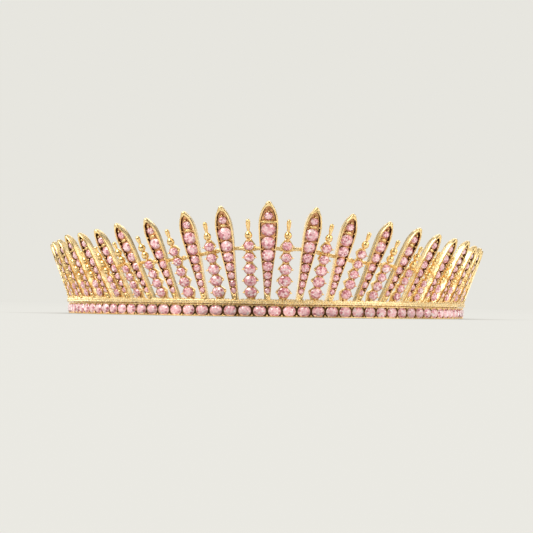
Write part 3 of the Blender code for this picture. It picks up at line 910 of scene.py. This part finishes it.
def make_column(name, place, row):
    """One column: its setting with cups, drops and turned top, and its string of stones."""
    matrix = piece_matrix(place, math.radians(row["lean"]))
    length = slanted(row)
    diameters = row["stones"]
    levels, bead_levels, neck = column_levels(length, row)
    necks = [(upper + lower) / 2 for upper, lower in zip(levels, levels[1:])] + [0.0]
    top = neck + COLUMN_NECK / 2
    bm = bmesh.new()
    stones = bmesh.new()
    column_body(bm, matrix, diameters, levels, necks, top)
    for diameter, level in zip(diameters, levels):
        radius = diameter / 2 * COLUMN_STONE_SHARE
        seat = front_seat(COLUMN_SEAT_DEPTH, level)
        stone(stones, seat, radius, COLUMN_DEEPER)
        # The cup's darker gold is painted shade round the stone
        cup(bm, seat, radius, COLUMN_PLATE - COLUMN_SEAT_DEPTH + COLUMN_CUP_SINK, PAINTED_RECESS_SHADOW,
            COLUMN_CUP_LIP)
    column_drops(bm, diameters, levels, necks)
    profile = finial_profile(length, row["finial"], bead_levels, top)
    turned(bm, Vector((0.0, BEAD_DEPTH, 0.0)), (X_AXIS, FORWARD, Z_AXIS), profile, TURN_SIDES, MIRROR)
    make_gold(name + "_setting", bm, name, matrix)
    make_stones(name + "_stones", stones, name, matrix)


# Band, base row and wire

def rounded(corners, edge):
    """Cut each corner of a closed section into three points."""
    points = []
    for before, here, after in zip(corners[-1:] + corners[:-1], corners, corners[1:] + corners[:1]):
        here = Vector(here)
        arms = [(Vector(other) - here) for other in (before, after)]
        first, last = [here + arm.normalized() * min(edge, arm.length * CORNER_REACH) for arm in arms]
        points += [first, here * CORNER_PULL + (first + last) * ((1.0 - CORNER_PULL) / 2), last]
    return points


def sweep(bm, section_at, angles):
    """A closed bar round the base, from its (radius, height) section at each angle."""
    loops = [ring(bm, [polar(radius, angle, height) for radius, height in section_at(angle)])
             for angle in angles]
    for here, there in zip(loops, loops[1:]):
        wall(bm, here, there, CAST)
    for loop in (loops[0], loops[-1]):
        fill(bm, loop, CAST)


def face_radii(face):
    """The distances of a face's corners from the base's centre."""
    return [math.hypot(vert.co.x, vert.co.y - centre_y) for vert in face.verts]


def band_section(angle):
    """The band's section: a wall under a ledge, which fades out where the tails begin."""
    wall_radius = BAND_INNER_RADIUS + BAND_WALL
    past_row = min(max((abs(angle) - TAIL_START) / LEDGE_FADE, 0.0), 1.0)
    past_row = past_row * past_row * (3 - 2 * past_row)
    tail_radius = wall_radius + TAIL_LIP
    ledge = RAIL_OUTER_RADIUS + (tail_radius - RAIL_OUTER_RADIUS) * past_row
    to_end = (BAND_HALF_ANGLE - abs(angle)) / TAIL_ROUNDING
    fall = 0.0
    if to_end < 1.0:
        fall = TAIL_END_DROP * (1.0 - math.sqrt(max(0.0, 1.0 - (1.0 - to_end) ** 2)))
    top = RAIL_TOP - fall
    shoulder = RAIL_BOTTOM - fall
    return rounded([(BAND_INNER_RADIUS, fall), (wall_radius, fall), (wall_radius, shoulder),
                    (ledge, shoulder), (ledge, top), (BAND_INNER_RADIUS, top)], BAND_EDGE)


def add_grains(bm):
    """Three uneven rows of cast grains along the rail, in the paler gold that is painted light."""
    count = int(2 * RAIL_OUTER_RADIUS * TAIL_START / GRAIN_PITCH)
    for radius, height in GRAIN_ROWS:
        for i in range(count):
            angle = TAIL_START * (2.0 * (i + rng.uniform(*GRAIN_PLAY)) / count - 1.0)
            centre = polar(radius, angle, height + rng.uniform(-GRAIN_LIFT, GRAIN_LIFT))
            size = rng.uniform(*GRAIN_SIZES)
            out = outwards(angle)
            radii = [size * stretch for stretch in GRAIN_STRETCH]
            ball(bm, centre, (Z_AXIS.cross(out), Z_AXIS, out), PAINTED_LIT_GOLD, radii,
                 GRAIN_SIDES, GRAIN_RINGS)


def make_band():
    """The horseshoe band, with its ledge in the paler gold, which is painted light."""
    bm = bmesh.new()
    angles = [BAND_HALF_ANGLE * (2.0 * i / BAND_STEPS - 1.0) for i in range(BAND_STEPS + 1)]
    sweep(bm, band_section, angles)
    for face in bm.faces:
        if min(face_radii(face)) > ROW_LIP_RADIUS:
            face.material_index = PAINTED_LIT_GOLD
    add_grains(bm)
    make_gold("band_rail", bm, "band")


def row_channel(bm):
    """The strip under the rail: a thin lip above and below a floor painted dark as shade."""
    back = BAND_INNER_RADIUS + BAND_WALL - ROW_SINK
    section = rounded([(back, 0.0), (ROW_LIP_RADIUS, 0.0), (ROW_LIP_RADIUS, ROW_LIP),
                       (ROW_FLOOR_RADIUS, ROW_LIP), (ROW_FLOOR_RADIUS, ROW_HEIGHT - ROW_LIP),
                       (ROW_LIP_RADIUS, ROW_HEIGHT - ROW_LIP), (ROW_LIP_RADIUS, ROW_HEIGHT),
                       (back, ROW_HEIGHT)], ROW_EDGE)
    steps = 2 * ROW_HALF_COUNT * ROW_STEPS_PER_STONE
    angles = [row_angle(ROW_HALF_COUNT * (2.0 * i / steps - 1.0)) for i in range(steps + 1)]
    sweep(bm, lambda angle: section, angles)
    # The channel's floor is painted shade
    for face in bm.faces:
        if all(abs(radius - ROW_FLOOR_RADIUS) < ROW_FLOOR_MARGIN for radius in face_radii(face)):
            face.material_index = PAINTED_SHADE


def make_base_row():
    """The channel with its stones in cups, and a prong above and below each joint."""
    bm = bmesh.new()
    stones = bmesh.new()
    row_channel(bm)
    for i in range(2 * ROW_HALF_COUNT):
        place = i - ROW_HALF_COUNT + 0.5
        angle = row_angle(place)
        pitch = ROW_FLOOR_RADIUS * (row_angle(place + 0.5) - row_angle(place - 0.5))
        radius = min(ROW_STONE_DIAMETER, ROW_CROWDING * pitch) / 2 - ROW_STONE_PLAY
        out = outwards(angle)
        seat = (polar(ROW_FLOOR_RADIUS + ROW_SEAT_RISE, angle, ROW_HEIGHT / 2),
                Z_AXIS.cross(out) * ROW_STRETCH[0], Z_AXIS * ROW_STRETCH[1], out)
        stone(stones, seat, radius, ROW_DEEPER)
        cup(bm, seat, radius, ROW_CUP_DEPTH, CAST, ROW_CUP_LIP)
    for i in range(2 * ROW_HALF_COUNT + 1):
        angle = row_angle(i - ROW_HALF_COUNT)
        out = outwards(angle)
        for height in (ROW_PRONG_EDGE, ROW_HEIGHT - ROW_PRONG_EDGE):
            ball(bm, polar(ROW_FLOOR_RADIUS + ROW_PRONG_RISE, angle, height),
                 (Z_AXIS.cross(out), Z_AXIS, out), CAST, **ROW_PRONG)
    make_gold("base_row_channel", bm, "base_row")
    make_stones("base_row_stones", stones, "base_row")


def wire_height(place):
    """The wire's height above the foot level: a share of the blades beside it."""
    low = BLADE_ROWS[int(abs(place))]["height"]
    high = BLADE_ROWS[math.ceil(abs(place))]["height"]
    return (low + high) / 2 * between(WIRE_SHARES, abs(place))


def smooth_line(points):
    """A smooth line through the points, with a few parts from each to the next."""
    fine = []
    for i in range(len(points) - 1):
        p0, p1, p2, p3 = [points[min(max(i + step, 0), len(points) - 1)] for step in (-1, 0, 1, 2)]
        for part in range(WIRE_PARTS):
            t = part / WIRE_PARTS
            fine.append(0.5 * ((2 * p1) + (p2 - p0) * t + (2 * p0 - 5 * p1 + 4 * p2 - p3) * t * t
                               + (3 * p1 - p0 - 3 * p2 + p3) * t * t * t))
    return fine + [points[-1]]


def make_link_wire(rows):
    """A bar behind the fringe, with a soldered knot at each side of every column."""
    points = []
    knots = []
    for _, place, row in sorted(rows, key=lambda entry: entry[1]):
        lean = math.radians(row["lean"])
        matrix = piece_matrix(place, lean)
        if place % 1:
            knots.append((matrix, len(points)))
        height = wire_height(place) / math.cos(lean)
        points.append(matrix @ Vector((0.0, PIECE_DEPTH + WIRE_BEHIND, height)))
    bm = bmesh.new()
    # The wire and its knots are in the paler gold, painted light
    tube(bm, smooth_line(points), WIRE_RADIUS, WIRE_SIDES, PAINTED_LIT_GOLD)
    for matrix, index in knots:
        axes = [matrix.to_3x3() @ axis for axis in FRONT_AXES]
        for beside in (points[index - 1], points[index + 1]):
            towards = (beside - points[index]).normalized()
            ball(bm, points[index] + towards * KNOT_REACH, axes, PAINTED_LIT_GOLD, **KNOT)
    make_gold("link_wire_bar", bm, "link_wire")


def fringe_rows():
    """Every blade and column in order round the base: name, place and table row."""
    half = len(BLADE_ROWS) - 1
    blades = [("blade_%02d" % (place + half + 1), place, BLADE_ROWS[abs(place)])
              for place in range(-half, half + 1)]
    columns = [("column_%02d" % (step + half + 1), step + 0.5, COLUMN_ROWS[int(abs(step + 0.5))])
               for step in range(-half, half)]
    return blades, columns


# Floor, light and camera

def make_floor():
    """A glowing floor, even and pale to the eye but for a painted shadow near the tiara; what the gold
    mirrors of it is patched light and dark.
    """
    mesh = bpy.data.meshes.new("floor")
    bm = bmesh.new()
    bmesh.ops.create_circle(bm, cap_ends=True, segments=FLOOR_SIDES, radius=FLOOR_RADIUS)
    bm.to_mesh(mesh)
    bm.free()
    material, shader = new_material("floor_pale", FLOOR_BASE, 1.0, 0.0)
    shader.inputs["Specular IOR Level"].default_value = 0.0
    tree = material.node_tree
    # Painted shadow: the floor's glow darkens where the tiara is near
    painted_shadow = tree.nodes.new("ShaderNodeAmbientOcclusion")
    painted_shadow.samples = FLOOR_SHADE_SAMPLES
    painted_shadow.inputs["Distance"].default_value = FLOOR_SHADE_REACH
    tones = colour_ramp(tree, painted_shadow.outputs["AO"], ((0.0, FLOOR_SHADE), (1.0, PALE)))
    place = tree.nodes.new("ShaderNodeTexCoord").outputs["Object"]
    patches = map_range(tree, noise(tree, place, FLOOR_PATCH_SCALE, PATCH_DETAIL), PATCH_EDGES,
                        FLOOR_PATCHES)
    rays = tree.nodes.new("ShaderNodeLightPath")
    # A mix of numbers takes its factor at socket 0 and the numbers at 2 and 3
    mix = tree.nodes.new("ShaderNodeMix")
    mix.inputs[3].default_value = 1.0
    tree.links.new(rays.outputs["Is Camera Ray"], mix.inputs[0])
    tree.links.new(patches, mix.inputs[2])
    tree.links.new(tones, shader.inputs["Emission Color"])
    tree.links.new(mix.outputs[0], shader.inputs["Emission Strength"])
    mesh.materials.append(material)
    floor = bpy.data.objects.new("floor", mesh)
    bpy.context.scene.collection.objects.link(floor)


def make_world():
    """Pale all round to the eye; what the gold mirrors is darker towards the front."""
    world = bpy.data.worlds.new("studio")
    bpy.context.scene.world = world
    world.use_nodes = True
    tree = world.node_tree
    direction = tree.nodes.new("ShaderNodeTexCoord").outputs["Generated"]
    split = tree.nodes.new("ShaderNodeSeparateXYZ")
    tree.links.new(direction, split.inputs["Vector"])
    backwards = map_range(tree, split.outputs["Y"], (-1.0, 1.0), (0.0, 1.0))
    tones = colour_ramp(tree, backwards, ((0.0, STUDIO_FRONT), (STUDIO_BACK_AT, STUDIO_BACK)))
    towards = tree.nodes.new("ShaderNodeVectorMath")
    towards.operation = "DOT_PRODUCT"
    towards.inputs[1].default_value = Vector(DARK_SIDE).normalized()
    tree.links.new(direction, towards.inputs[0])
    dark = map_range(tree, towards.outputs["Value"], DARK_SIDE_EDGES, (1.0, DARK_SIDE_LEVEL))
    patches = map_range(tree, noise(tree, direction, STUDIO_PATCH_SCALE, PATCH_DETAIL),
                        PATCH_EDGES, STUDIO_PATCHES)
    darkened = tree.nodes.new("ShaderNodeMath")
    darkened.operation = "MULTIPLY"
    tree.links.new(patches, darkened.inputs[0])
    tree.links.new(dark, darkened.inputs[1])
    patched = tree.nodes.new("ShaderNodeVectorMath")
    patched.operation = "SCALE"
    tree.links.new(tones, patched.inputs[0])
    tree.links.new(darkened.outputs["Value"], patched.inputs["Scale"])
    rays = tree.nodes.new("ShaderNodeLightPath")
    # A mix of colours takes them at sockets 6 and 7 and gives the result at 2
    mix = tree.nodes.new("ShaderNodeMix")
    mix.data_type = "RGBA"
    mix.inputs[7].default_value = PALE + (1.0,)
    tree.links.new(rays.outputs["Is Camera Ray"], mix.inputs["Factor"])
    tree.links.new(patched.outputs["Vector"], mix.inputs[6])
    tree.links.new(mix.outputs[2], tree.nodes["Background"].inputs["Color"])
    tree.nodes["Background"].inputs["Strength"].default_value = 1.0


def add_light(name, place, size, power):
    """A soft rectangle of light turned towards the tiara."""
    data = bpy.data.lights.new(name, "AREA")
    data.shape = "RECTANGLE"
    data.size, data.size_y = size
    data.energy = power
    data.color = LIGHT_COLOUR
    light = bpy.data.objects.new(name, data)
    light.location = place
    light.rotation_euler = (Vector(LIGHT_TARGET) - Vector(place)).to_track_quat("-Z", "Y").to_euler()
    bpy.context.scene.collection.objects.link(light)


def make_camera():
    """Just above the floor, pitched so that the front of the base keeps its pixel row."""
    data = bpy.data.cameras.new("camera")
    data.lens = FOCAL_PIXELS / IMAGE_SIDE * data.sensor_width
    data.clip_start, data.clip_end = CAMERA_CLIP
    camera = bpy.data.objects.new("camera", data)
    turn = Matrix.Rotation(-CAMERA_YAW, 3, "Z")
    from_centre = turn @ Vector((0.0, -FACE_RADIUS - CAMERA_DISTANCE, CAMERA_HEIGHT))
    position = Vector((0.0, centre_y, 0.0)) + from_centre
    offset = (FRONT_ROW_PIXEL - IMAGE_SIDE / 2) / FOCAL_PIXELS
    pitch = math.atan(offset) - math.atan(CAMERA_HEIGHT / CAMERA_DISTANCE)
    forward = turn @ Vector((0.0, math.cos(pitch), math.sin(pitch)))
    rotation = forward.to_track_quat("-Z", "Y").to_matrix()
    rotation = rotation @ Matrix.Rotation(CAMERA_ROLL, 3, "Z")
    camera.matrix_world = Matrix.Translation(position * MM) @ rotation.to_4x4()
    bpy.context.scene.collection.objects.link(camera)
    bpy.context.scene.camera = camera


make_band()
make_base_row()
blades, columns = fringe_rows()
for name, place, row in blades:
    make_blade(name, place, row)
for name, place, row in columns:
    make_column(name, place, row)
make_link_wire(blades + columns)
make_floor()
make_world()
for light_row in LIGHT_ROWS:
    add_light(**light_row)
make_camera()
bpy.context.scene.view_settings.view_transform = "Standard"
